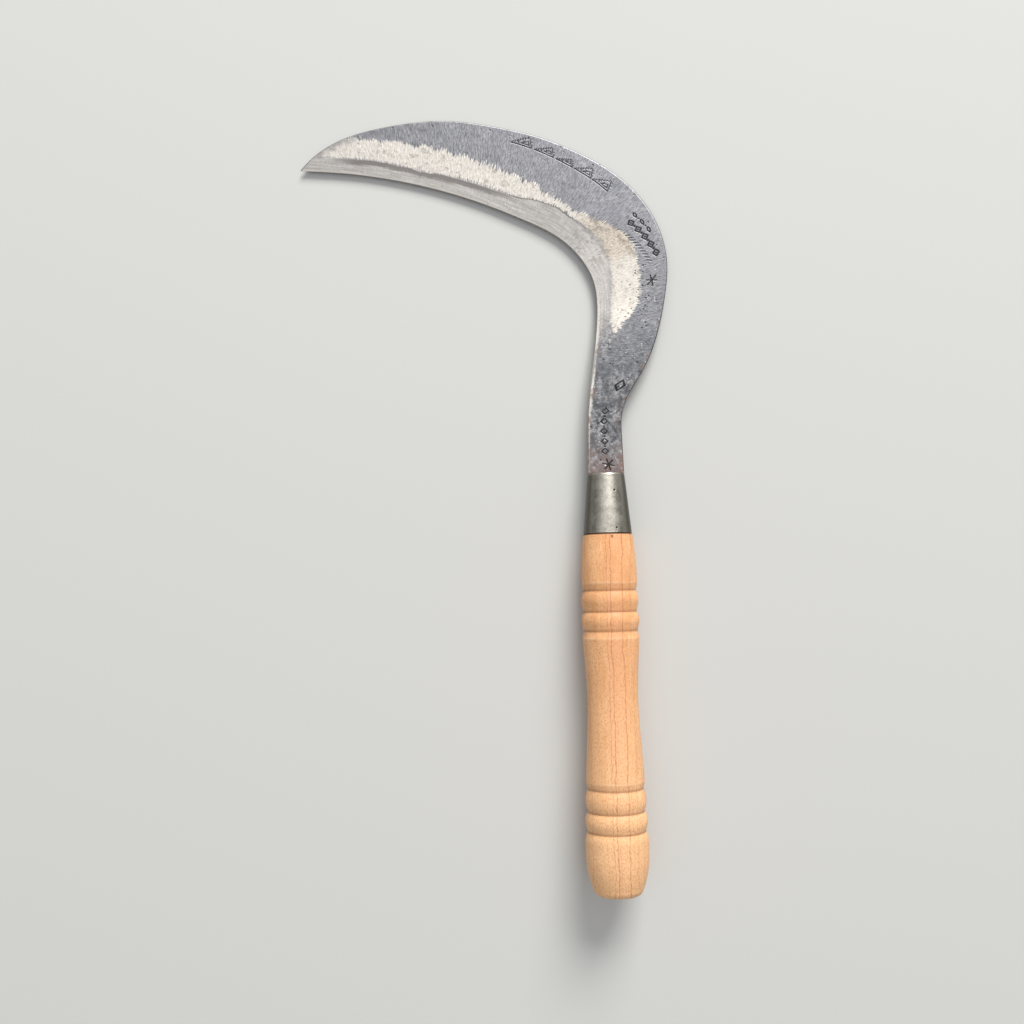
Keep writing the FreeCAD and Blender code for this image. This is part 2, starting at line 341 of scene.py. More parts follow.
scratches = effect("scratches", [("Vector", None), ("Scale", 1.0)],
                   [("Body", "NodeSocketFloat"), ("Long", "NodeSocketFloat")], scratches_build)
pits = effect("pits", [("Vector", None), ("Density", 0.6), ("Share", 0.2), ("Size", 0.3)],
              [("Pits", "NodeSocketFloat")], pits_build)
mottle = effect("mottle", [("Vector", None), ("Scale", 0.1)],
                [(name, "NodeSocketFloat") for name in ("Cloud", "Grain", "Both")], mottle_build)


def steel_material():
    """The blade: grey field scratched across, bright coarse grind, honed bevel, dull pitted neck."""
    material, n, shader = new_material("forged_and_ground_steel")
    place = n.add("UVMap", uv_map="blade_mm").outputs[0]
    along = n.add("SeparateXYZ", {"Vector": place}).outputs[0]
    past_coarse, past_honed, from_spine, marked = (
        n.add("Attribute", attribute_name=name).outputs["Fac"]
        for name in ("past_coarse", "past_honed", "from_spine", "marked"))
    to_edge = n.add("Attribute", attribute_name="to_edge").outputs["Fac"]

    lines = use(n, scratches, Vector=place, Scale=1.0)
    wide = use(n, mottle, Vector=place, Scale=0.085)
    small = use(n, mottle, Vector=n.stretched(place, (1, 1, 1), (50, 20, 0)), Scale=0.33)
    patchy = n.math("ADD", along, n.math("MULTIPLY", n.math("SUBTRACT", small["Both"], 0.5), 20.0))
    neck = n.ramp(patchy, 98.0, 42.0)

    # The field: cool grey, streaked across; darker, mottled and speckled below the bend.
    field = n.mix(lines["Body"], colour(0.145, 0.145, 0.158), colour(0.309, 0.31, 0.333))
    field = n.mix(n.math("MULTIPLY", lines["Long"], 0.35), field, colour(0.436, 0.438, 0.462))
    field = n.mix(n.math("MULTIPLY", wide["Cloud"], 0.40), field, colour(0.156, 0.158, 0.175))
    dull = n.mix(small["Both"], colour(0.035, 0.035, 0.040), colour(0.39, 0.39, 0.40))
    clouded = n.math("MULTIPLY", n.ramp(wide["Cloud"], 0.25, 0.75), 0.6)
    dull = n.mix(clouded, dull, colour(0.075, 0.078, 0.088))
    field = n.mix(n.math("MULTIPLY", neck, 0.9), field, dull)

    # The coarse grind: cream, with a fringe of strands into the field and dark flecks left in it.
    strand = n.noise(n.stretched(place, (0.95, 0.09, 1.0), (31, 2, 0)), 1.0, 2.0, 0.75)
    fibre = n.noise(n.stretched(place, (1.9, 0.26, 1.0), (11, 9, 0)), 1.0, 1.0, 0.5)
    sway = n.noise(n.stretched(place, (0.085, 0.0, 0.0), (3, 0, 0)), 1.0, 3.0, 0.6)
    longer = n.math("MULTIPLY", n.ramp(along, 180.0, 215.0), n.ramp(along, 305.0, 265.0))
    strand_reach = n.math("MULTIPLY", n.math("SUBTRACT", strand, 0.5), n.ramp(longer, 0.0, 1.0, 6.0, 13.0))
    reach = n.math("ADD", strand_reach, n.math("MULTIPLY", n.math("SUBTRACT", fibre, 0.5), 5.0))
    reach = n.math("ADD", reach, n.math("MULTIPLY", n.math("SUBTRACT", sway, 0.5), 8.0))
    in_coarse = n.ramp(n.math("ADD", past_coarse, reach), -0.5, 0.9)
    in_coarse = n.math("MULTIPLY", in_coarse, n.ramp(patchy, 82.0, 91.0))
    in_coarse = n.math("MULTIPLY", in_coarse, n.ramp(n.math("ADD", past_honed, strand_reach), 0.6, -0.6))
    dash = n.noise(n.stretched(place, (1.15, 0.5, 1.0), (5, 60, 0)), 1.0, 3.0, 0.75)
    cream = n.mix(lines["Body"], colour(0.571, 0.533, 0.492), colour(0.827, 0.791, 0.745))
    cream = n.mix(n.math("MULTIPLY", n.ramp(dash, 0.54, 0.68), 0.62), cream, colour(0.349, 0.322, 0.294))
    cream = n.mix(n.math("MULTIPLY", n.ramp(dash, 0.44, 0.34), 0.30), cream, colour(0.883, 0.883, 0.855))
    in_bend = n.math("MULTIPLY", n.ramp(along, 132.0, 146.0), n.ramp(along, 196.0, 170.0))
    stain = n.noise(n.stretched(place, (0.17, 0.17, 1), (9, 4, 0)), 1.0, 3.0, 0.65)
    stain = n.ramp(n.math("ADD", stain, n.math("MULTIPLY", in_bend, 0.05)), 0.54, 0.68)
    peppered = n.math("MULTIPLY", in_bend, n.ramp(small["Grain"], 0.45, 0.85))
    stain = n.math("MAXIMUM", stain, n.math("MULTIPLY", peppered, 0.4))
    cream = n.mix(n.math("MULTIPLY", stain, 0.60), cream, colour(0.405, 0.361, 0.312))
    ticks = n.ramp(n.noise(n.stretched(place, (1.1, 0.7, 1.0), (25, 3, 0)), 1.0, 3.0, 0.7), 0.50, 0.60)
    ticks = n.math("MULTIPLY", ticks, n.math("ADD", n.math("MULTIPLY", in_bend, 0.36), 0.14))
    cream = n.mix(ticks, cream, colour(0.22, 0.175, 0.135))
    cream = n.mix(n.ramp(along, 190.0, 135.0), cream, colour(0.95, 0.945, 0.935), "MULTIPLY")
    cream = n.mix(in_bend, cream, colour(0.97, 0.925, 0.87), "MULTIPLY")
    by_tip = n.math("MULTIPLY", n.ramp(along, 318.0, 352.0), n.ramp(from_spine, 6.0, 0.8))
    by_tip = n.math("MULTIPLY", by_tip, n.ramp(small["Both"], 0.1, 0.7, 0.45, 0.9))
    cream = n.mix(by_tip, cream, colour(0.33, 0.315, 0.315))
    in_coarse = n.math("MULTIPLY", in_coarse, n.ramp(stain, 0.0, 1.0, 1.0, 0.82))
    tone = n.mix(in_coarse, field, cream)

    # The honed bevel: grey beige rubbed lengthwise, a dark wavy band under its border.
    rubbed = n.noise(n.stretched(place, (0.05, 0.85, 1.0), (2, 7, 0)), 1.0, 4.0, 0.65)
    wander = n.noise(n.stretched(place, (0.06, 0.0, 0.0), (5, 0, 0)), 1.0, 2.0, 0.5)
    border = n.math("ADD", past_honed, n.math("MULTIPLY", n.math("SUBTRACT", wander, 0.5), 3.0))
    border = n.math("ADD", border, n.math("MULTIPLY", n.math("SUBTRACT", strand, 0.5), 1.8))
    blur = n.math("ADD", n.math("MULTIPLY", n.ramp(along, 205.0, 175.0), 2.6), 0.35)
    in_honed = n.ramp(border, n.math("MULTIPLY", blur, -1.0), blur)
    in_honed = n.math("MULTIPLY", in_honed, n.ramp(patchy, 74.0, 106.0))
    honed = n.mix(n.ramp(rubbed, 0.27, 0.73), colour(0.33, 0.31, 0.292), colour(0.66, 0.628, 0.596))
    honed = n.mix(n.math("MULTIPLY", small["Both"], 0.55), honed, colour(0.34, 0.32, 0.305))
    honed_grain = n.math("MULTIPLY", n.ramp(small["Grain"], 0.45, 0.95), 0.65)
    honed = n.mix(honed_grain, honed, colour(0.703, 0.675, 0.646))
    smudge = n.math("MULTIPLY", in_bend, n.ramp(n.math("ADD", wide["Cloud"], small["Cloud"]), 0.95, 1.45))
    honed = n.mix(n.ramp(along, 215.0, 180.0, 0.0, 0.15), honed, colour(0.60, 0.565, 0.545))
    honed = n.mix(n.math("MULTIPLY", smudge, 0.32), honed, colour(0.20, 0.17, 0.145))
    honed = n.mix(n.math("MULTIPLY", n.ramp(dash, 0.55, 0.70), 0.45), honed, colour(0.257, 0.238, 0.228))
    band_depth = n.math("ADD", border, n.math("MULTIPLY", n.math("SUBTRACT", rubbed, 0.5), 4.0))
    band = n.math("MULTIPLY", n.ramp(border, 0.1, 0.7), n.ramp(band_depth, 4.4, 2.4))
    band = n.math("MULTIPLY", band, n.ramp(along, 228.0, 262.0))
    band = n.math("MULTIPLY", band, n.ramp(along, 366.0, 345.0))
    honed = n.mix(n.math("MULTIPLY", band, 0.85), honed, colour(0.207, 0.189, 0.18))
    tone = n.mix(in_honed, tone, honed)
    seam = n.math("MULTIPLY", n.ramp(border, -0.45, -0.05), n.ramp(border, 0.5, 0.05))
    seam_run = n.math("MULTIPLY", n.ramp(along, 160.0, 190.0), n.ramp(along, 262.0, 235.0))
    seam = n.math("MULTIPLY", seam, seam_run)
    tone = n.mix(n.math("MULTIPLY", seam, 0.8), tone, colour(0.0968, 0.0836, 0.0748))

    # Wear on the edges, specks and pits, rust by the ferrule, and the dark punched marks.
    rim = n.math("MINIMUM", from_spine, to_edge)
    wear_and_painted_highlight = n.math("MULTIPLY", n.ramp(to_edge, 1.6, 0.7), n.ramp(small["Both"], 0.0, 0.6, 0.35, 1.0))
    tone = n.mix(n.math("MULTIPLY", wear_and_painted_highlight, 0.8), tone, colour(0.581, 0.537, 0.493))
    blunt = n.math("MULTIPLY", n.ramp(along, 28.0, 46.0), n.ramp(patchy, 126.0, 96.0))
    ragged_edge = n.math("ADD", to_edge, n.math("MULTIPLY", small["Both"], 1.1))
    blunt = n.math("MULTIPLY", blunt, n.ramp(ragged_edge, 2.8, 1.8))
    tone = n.mix(n.math("MULTIPLY", blunt, 0.85), tone, colour(0.70, 0.67, 0.625))
    wear_and_painted_highlight = n.math("MULTIPLY", n.ramp(from_spine, 1.4, 0.5), n.ramp(small["Both"], 0.2, 0.8))
    tone = n.mix(n.math("MULTIPLY", wear_and_painted_highlight, 0.30), tone, colour(0.36, 0.355, 0.35))
    tone = n.mix(n.ramp(from_spine, 0.75, 0.35, 0.0, 0.6), tone, colour(0.13, 0.13, 0.13))
    speck_place = n.stretched(place, (1, 1, 1), (40, 13, 0))
    specks = use(n, pits, Vector=speck_place, Density=0.6, Share=0.46, Size=0.38)
    sparkle = n.math("MAXIMUM", neck, n.math("MULTIPLY", n.ramp(patchy, 140.0, 110.0), 0.7))
    speckled = n.math("MULTIPLY", sparkle, n.ramp(wide["Grain"], 0.3, 0.8))
    specks = n.math("MULTIPLY", specks["Pits"], speckled)
    dark_pits = use(n, pits, Vector=place, Density=0.42, Share=0.14, Size=0.26)["Pits"]
    rust = n.ramp(n.noise(n.stretched(place, (0.12, 0.12, 1), (2, 17, 0)), 1.0, 4.0, 0.65), 0.47, 0.66)
    near_rim = n.ramp(rim, 5.0, 0.5)
    by_edges = n.math("MULTIPLY", near_rim, n.ramp(along, 128.0, 40.0))
    rust = n.math("MULTIPLY", rust, n.math("MAXIMUM", n.ramp(along, 24.0, 2.0), by_edges))
    tone = n.mix(n.math("MULTIPLY", rust, 0.75), tone, colour(0.20, 0.12, 0.09))
    tone = n.mix(n.math("MULTIPLY", n.ramp(patchy, 17.0, 4.0), 0.42), tone, colour(0.30, 0.21, 0.195))
    tone = n.mix(specks, tone, colour(0.704, 0.695, 0.678))
    tone = n.mix(n.math("MULTIPLY", dark_pits, 0.55), tone, colour(0.0528, 0.0484, 0.0528))
    tone = n.mix(n.math("MULTIPLY", marked, n.ramp(small["Grain"], 0.0, 0.6, 0.72, 0.97)), tone,
                 colour(0.0106, 0.00968, 0.0114))

    gloss = n.ramp(lines["Body"], 0.0, 1.0, 0.36, 0.50)
    gloss = n.math("ADD", gloss, n.math("MULTIPLY", in_coarse, 0.14))
    gloss = n.math("ADD", gloss, n.ramp(from_spine, 0.9, 0.3, 0.0, 0.2))
    gloss = n.math("ADD", gloss, n.math("MULTIPLY", n.math("ADD", marked, rust), 0.25))
    relief = n.math("ADD", n.math("MULTIPLY", lines["Body"], 0.45), n.math("MULTIPLY", lines["Long"], -0.5))
    relief = n.math("ADD", relief, n.math("MULTIPLY", n.math("MULTIPLY", dash, in_coarse), 0.5))
    relief = n.math("ADD", relief, n.math("MULTIPLY", n.math("MULTIPLY", small["Grain"], neck), 0.6))
    relief = n.math("SUBTRACT", relief, n.math("MULTIPLY", dark_pits, 1.5))
    bump = n.add("Bump", {"Strength": 0.6, "Distance": 0.00008, "Height": relief})
    n.feed(shader.inputs["Base Color"], tone)
    n.feed(shader.inputs["Roughness"], gloss)
    fouled = n.math("MULTIPLY", n.math("ADD", marked, rust), 0.45)
    n.feed(shader.inputs["Metallic"], n.math("SUBTRACT", 1.0, fouled))
    n.feed(shader.inputs["Normal"], bump.outputs[0])
    return material


def tool_coordinates(n):
    """Where a point is in the tool's own frame, in millimetres."""
    centred = n.add("Mapping", {"Vector": n.add("TexCoord").outputs["Object"], "Location": TOOL.translation,
                                "Rotation": TOOL.to_euler()}, vector_type="TEXTURE")
    return n.stretched(centred.outputs[0], (1 / MM, 1 / MM, 1 / MM))


def ferrule_material():
    """Dull rolled steel: drawn lengthwise, cloudy, peppered with fine pits; painted shade darkens its sides
    and underside.
    """
    material, n, shader = new_material("dull_ferrule_steel")
    place = tool_coordinates(n)
    drawn = use(n, scratches, Vector=place, Scale=1.3)
    cloud = use(n, mottle, Vector=place, Scale=0.14)
    holes = use(n, pits, Vector=place, Density=0.55, Share=0.16, Size=0.26)["Pits"]
    tone = n.mix(cloud["Both"], colour(0.365, 0.335, 0.278), colour(0.57, 0.535, 0.468))
    tone = n.mix(n.math("MULTIPLY", drawn["Body"], 0.35), tone, colour(0.828, 0.793, 0.724))
    tone = n.mix(n.math("MULTIPLY", drawn["Long"], 0.12), tone, colour(0.10, 0.095, 0.085))
    # Painted shade: the steel darkens from the ferrule's top down its sides and underneath, by which way it
    # faces.
    spot = n.add("SeparateXYZ", {"Vector": place})
    ring = n.math("ADD", n.math("POWER", spot.outputs[0], 2.0), n.math("POWER", spot.outputs[2], 2.0))
    ring = n.math("SQRT", ring)
    sides = n.ramp(n.math("DIVIDE", spot.outputs[2], ring), 0.93, 0.50)
    tone = n.mix(n.math("MULTIPLY", sides, 0.88), tone, colour(0.038, 0.038, 0.026))
    # Painted highlight: a lighter band along the ferrule's front rim.
    rim = n.add("Attribute", attribute_name="rim").outputs["Fac"]
    tone = n.mix(n.math("MULTIPLY", rim, 0.35), tone, colour(0.55, 0.52, 0.47))
    grime = n.add("Attribute", attribute_name="grime").outputs["Fac"]
    tone = n.mix(n.math("MULTIPLY", grime, 0.85), tone, colour(0.07, 0.035, 0.022))
    tone = n.mix(n.math("MULTIPLY", holes, 0.7), tone, colour(0.06, 0.05, 0.045))
    pricked = n.add("Attribute", attribute_name="pricked").outputs["Fac"]
    tone = n.mix(n.math("MULTIPLY", pricked, 6.0, True), tone, colour(0.022, 0.02, 0.018))
    height = n.math("ADD", n.math("MULTIPLY", drawn["Body"], 0.3), n.math("MULTIPLY", cloud["Grain"], 0.4))
    height = n.math("SUBTRACT", height, n.math("MULTIPLY", holes, 1.2))
    bump = n.add("Bump", {"Strength": 0.4, "Distance": 0.00006, "Height": height})
    n.feed(shader.inputs["Base Color"], tone)
    n.feed(shader.inputs["Roughness"], n.ramp(cloud["Both"], 0.0, 1.0, 0.33, 0.42))
    n.feed(shader.inputs["Normal"], bump.outputs[0])
    shader.inputs["Metallic"].default_value = 1.0
    return material


def wood_material():
    """Turned beech: orange tan, small ray flecks, three dark growth lines running lengthwise; with painted
    shade in the grooves, painted highlights on the crests and painted light towards the butt.
    """
    material, n, shader = new_material("turned_beech")
    place = tool_coordinates(n)
    spot = n.add("SeparateXYZ", {"Vector": place})
    slow = n.noise(n.stretched(place, (0.02, 0.011, 0.02)), 1.0, 1.0, 0.5)
    quick = n.noise(n.stretched(place, (0.05, 0.085, 0.05), (4, 1, 8)), 1.0, 2.0, 0.6)
    across = n.math("ADD", spot.outputs[0], n.math("MULTIPLY", n.math("SUBTRACT", slow, 0.5), 5.0))
    across = n.math("ADD", across, n.math("MULTIPLY", n.math("SUBTRACT", quick, 0.5), 3.2))
    across = n.math("ADD", across, n.math("MULTIPLY", spot.outputs[2], 0.10))
    fibre = n.noise(n.stretched(place, (1.5, 0.05, 1.5)), 1.0, 4.0, 0.6)
    quick_grain = n.noise(n.stretched(place, (1.1, 0.45, 1.1), (2, 6, 3)), 1.0, 2.0, 0.6)
    cloud = use(n, mottle, Vector=n.stretched(place, (1.0, 0.25, 1.0)), Scale=0.10)
    fleck = n.ramp(n.noise(n.stretched(place, (1.9, 0.85, 1.9), (4, 9, 2)), 1.0, 2.0, 0.65), 0.49, 0.64)
    pores = use(n, pits, Vector=n.stretched(place, (1.0, 0.4, 1.0)), Density=0.9, Share=0.4, Size=0.2)["Pits"]

    growth = None
    for middle, half_width, strength in GROWTH_LINES:
        off = n.math("ABSOLUTE", n.math("SUBTRACT", across, middle))
        line = n.math("MULTIPLY", n.ramp(off, half_width, half_width * 0.1), strength)
        growth = line if growth is None else n.math("MAXIMUM", growth, line)
    rings = n.noise(n.add("CombineXYZ", {"X": n.math("MULTIPLY", across, 0.55)}).outputs[0], 1.0, 3.0, 0.6)
    faint = n.math("MULTIPLY", n.ramp(rings, 0.52, 0.66), 0.30)
    warm = n.ramp(n.math("ABSOLUTE", n.math("SUBTRACT", across, 4.5)), 8.0, 3.0)

    tone = n.mix(cloud["Cloud"], colour(0.735, 0.345, 0.147), colour(0.91, 0.50, 0.250))
    tone = n.mix(n.math("MULTIPLY", n.ramp(fibre, 0.32, 0.70), 0.45), tone, colour(0.94, 0.555, 0.290))
    blotchy = n.math("MULTIPLY", warm, n.ramp(cloud["Both"], 0.1, 0.9, 0.20, 0.72))
    tone = n.mix(blotchy, tone, colour(0.80, 0.375, 0.19))
    # Painted light: the wood is made lighter towards the butt.
    tone = n.mix(n.ramp(spot.outputs[1], -50.0, -175.0, 0.0, 0.55), tone, colour(0.98, 0.63, 0.35))
    tone = n.mix(faint, tone, colour(0.68, 0.31, 0.14))
    tone = n.mix(n.math("MULTIPLY", fleck, 0.72), tone, colour(0.62, 0.28, 0.115))
    tone = n.mix(n.math("MULTIPLY", pores, 0.26), tone, colour(0.38, 0.155, 0.07))
    broken = n.ramp(quick_grain, 0.35, 0.62, 0.4, 1.0)
    tone = n.mix(n.math("MULTIPLY", growth, broken), tone, colour(0.46, 0.15, 0.07))
    groove, ridge = (n.add("Attribute", attribute_name=name).outputs["Fac"] for name in ("groove", "ridge"))
    # Painted shade in the V-cuts, wider on their side towards the blade; by the ferrule it also gives the
    # dark joint line.
    tone = n.mix(n.math("MULTIPLY", groove, 0.65, True), tone, colour(0.30, 0.12, 0.045))
    joint = n.ramp(spot.outputs[1], -1.0, -0.3)
    bruise = n.add("Mapping", {"Vector": place, "Location": (1.6, -1.9, 13.6), "Scale": (0.9, 1.3, 4.0)},
                   vector_type="TEXTURE")
    bruise = n.add("VectorMath", {"Vector": bruise.outputs[0]}, operation="LENGTH").outputs["Value"]
    joint = n.math("MAXIMUM", joint, n.math("MULTIPLY", n.ramp(bruise, 1.0, 0.4), 0.8))
    tone = n.mix(n.math("MULTIPLY", joint, 0.9), tone, colour(0.075, 0.028, 0.012))
    # Painted highlight on the bead crests, and lighter along the butt's last rim.
    wear_and_painted_highlight = n.math("MULTIPLY", ridge, n.ramp(fibre, 0.3, 0.6, 0.05, 0.3))
    tone = n.mix(wear_and_painted_highlight, tone, colour(0.96, 0.66, 0.40))

    turning = n.noise(n.stretched(place, (0.02, 2.4, 0.02)), 1.0, 2.0, 0.6)
    height = n.math("ADD", n.math("MULTIPLY", fibre, 0.7), n.math("MULTIPLY", turning, 0.45))
    height = n.math("SUBTRACT", height, n.math("MULTIPLY", n.math("ADD", fleck, pores), 0.5))
    height = n.math("SUBTRACT", height, n.math("MULTIPLY", growth, 0.5))
    bump = n.add("Bump", {"Strength": 0.45, "Distance": 0.0001, "Height": height})
    n.feed(shader.inputs["Base Color"], tone)
    n.feed(shader.inputs["Roughness"], n.ramp(fibre, 0.3, 0.7, 0.46, 0.60))
    n.feed(shader.inputs["Normal"], bump.outputs[0])
    shader.inputs["Specular IOR Level"].default_value = 0.35
    return material


# --- blade -------------------------------------------------------------------------------------


def dot(at, radius, strength=1.0):
    return [(at, at, radius, strength)]


def trail(points, half_width, strength=1.0):
    return [(a, b, half_width, strength) for a, b in zip(points, points[1:])]


def lozenge(at, length, height, half_width, strength=1.0):
    x, y = at
    corners = [(x - length / 2, y), (x, y - height / 2), (x + length / 2, y), (x, y + height / 2)]
    return trail(corners + corners[:1], half_width, strength)


def leaf(at, length, height, half_width, strength=1.0):
    x, y = at
    curve = [(x + length / 2 * t, height / 2 * (1 - t * t)) for t in np.linspace(-1, 1, 5)]
    sides = [[(u, y + side * v) for u, v in curve] for side in (-1, 1)]
    return trail(sides[0], half_width, strength) + trail(sides[1], half_width, strength)


def star(at, radius, half_width):
    strokes = []
    for turn in (0.3, 0.3 + math.pi / 3, 0.3 + 2 * math.pi / 3):
        arm = (radius * math.cos(turn), radius * math.sin(turn))
        strokes += trail([(at[0] - arm[0], at[1] - arm[1]), (at[0] + arm[0], at[1] + arm[1])], half_width)
    return strokes


def row(start, end, count):
    """Places evenly spaced from start to end."""
    run, rise = end[0] - start[0], end[1] - start[1]
    return [(start[0] + run * k / (count - 1), start[1] + rise * k / (count - 1)) for k in range(count)]


def border_marks():
    """The cut border below the spine: a base line with hatched triangles standing on it."""
    def on_base(x, up=0.0):
        return (x, float(np.interp(x, *zip(*BORDER_LINE))) - up)

    strokes = []
    for end, length, height in BORDER_TEETH:
        start = end + length
        middle = end + length * 0.22
        apex = on_base(middle, height)
        strokes += trail([on_base(start), on_base(end)], 0.34, 1.0)
        strokes += trail([apex, on_base(end)], 0.24, 0.8)
        inner = [on_base(middle + length * side, 1.1 + height * 0.35 * tip)
                 for side, tip in ((0.32, 0), (0, 1), (-0.06, 0))]
        strokes += trail(inner + inner[:1], 0.28, 0.85)
        for share in (0.1, 0.24, 0.38, 0.52, 0.66, 0.80, 0.94):
            foot = on_base(start + (middle - start) * share, height * share + 0.4)
            strokes += trail([foot, (foot[0] + 0.3, foot[1] + 0.9)], 0.28, 0.9)
        for share in (0.45, 0.75):
            foot = on_base(start + (middle - start) * share, height * share * 0.55 + 0.4)
            strokes += trail([foot, (foot[0] + 0.3, foot[1] + 0.8)], 0.28, 0.9)
        for share in (0.3, 0.6, 0.9):
            foot = on_base(end - 0.9 + (middle - end) * share, height * share)
            strokes += dot(foot, 0.34, 0.85)
    return strokes


def punched_marks():
    """Plain smith's punches where such a blade carries its stamps."""
    strokes = []
    for k, at in enumerate(row(*ROW_ONE, 5)):
        strokes += dot(at, 0.6, 0.9) if k % 2 else leaf(at, 3.4, 1.5, 0.42)
    for k, at in enumerate(row(*ROW_TWO, 9)):
        strokes += dot(at, 0.9) if k % 2 else lozenge(at, 4.0, 3.6, 0.52) + dot(at, 0.7)
    for at in row(*ROW_THREE, 10):
        strokes += trail([(at[0] - 0.5, at[1] - 1.3), (at[0] + 0.5, at[1] + 1.3)], 0.40, 0.7)
    strokes += star((118.0, 9.2), 3.2, 0.40)
    for at in ((89.5, 7.6), (92.0, 8.8), (88.5, 10.0)):
        strokes += dot(at, 0.55, 0.9)
    strokes += lozenge((51.5, 7.8), 6.6, 5.4, 0.60)
    for k, at in enumerate(row(*NECK_ROW, 9)):
        strokes += dot(at, 0.7, 0.9) if k % 2 else lozenge(at, 3.2, 3.8, 0.36, 0.9)
    strokes += star((5.2, 8.6), 3.3, 0.42)
    return strokes


def stray_pits():
    """Small dents: a few along the spine, some in the coarse grind's end, more in the neck."""
    chance = random.Random(7)
    strokes = []
    for count, (low, high), (near, far) in ((16, (96, 330), (1.2, 7.0)), (34, (96, 130), (8.0, 22.0)),
                                            (12, (62, 100), (1.5, 30.0)), (16, (4, 60), (1.2, 19.0))):
        for _ in range(count):
            at = (chance.uniform(low, high), chance.uniform(near, far))
            strokes += dot(at, chance.uniform(0.30, 0.62), chance.uniform(0.45, 0.85))
    return strokes


def struck(points, strokes, spread=0.0):
    """How deep each (along, from spine) point lies in the marks, 0 to 1; or within spread of them."""
    deep = np.zeros(len(points))
    for a, b, half_width, strength in strokes:
        a, b = np.array(a, float), np.array(b, float)
        inside = (points > np.minimum(a, b) - 2.5) & (points < np.maximum(a, b) + 2.5)
        near = np.flatnonzero(np.all(inside, axis=1))
        if not len(near):
            continue
        run = b - a
        reach = max(run @ run, 1e-9)
        share = np.clip((points[near] - a) @ run / reach, 0, 1)
        gap = np.linalg.norm(points[near] - a - share[:, None] * run, axis=1)
        if spread:
            level = (gap < half_width + spread).astype(float)
        else:
            level = strength * np.clip((half_width * 1.15 - gap) / (half_width * 0.6), 0, 1)
        deep[near] = np.maximum(deep[near], level)
    return deep


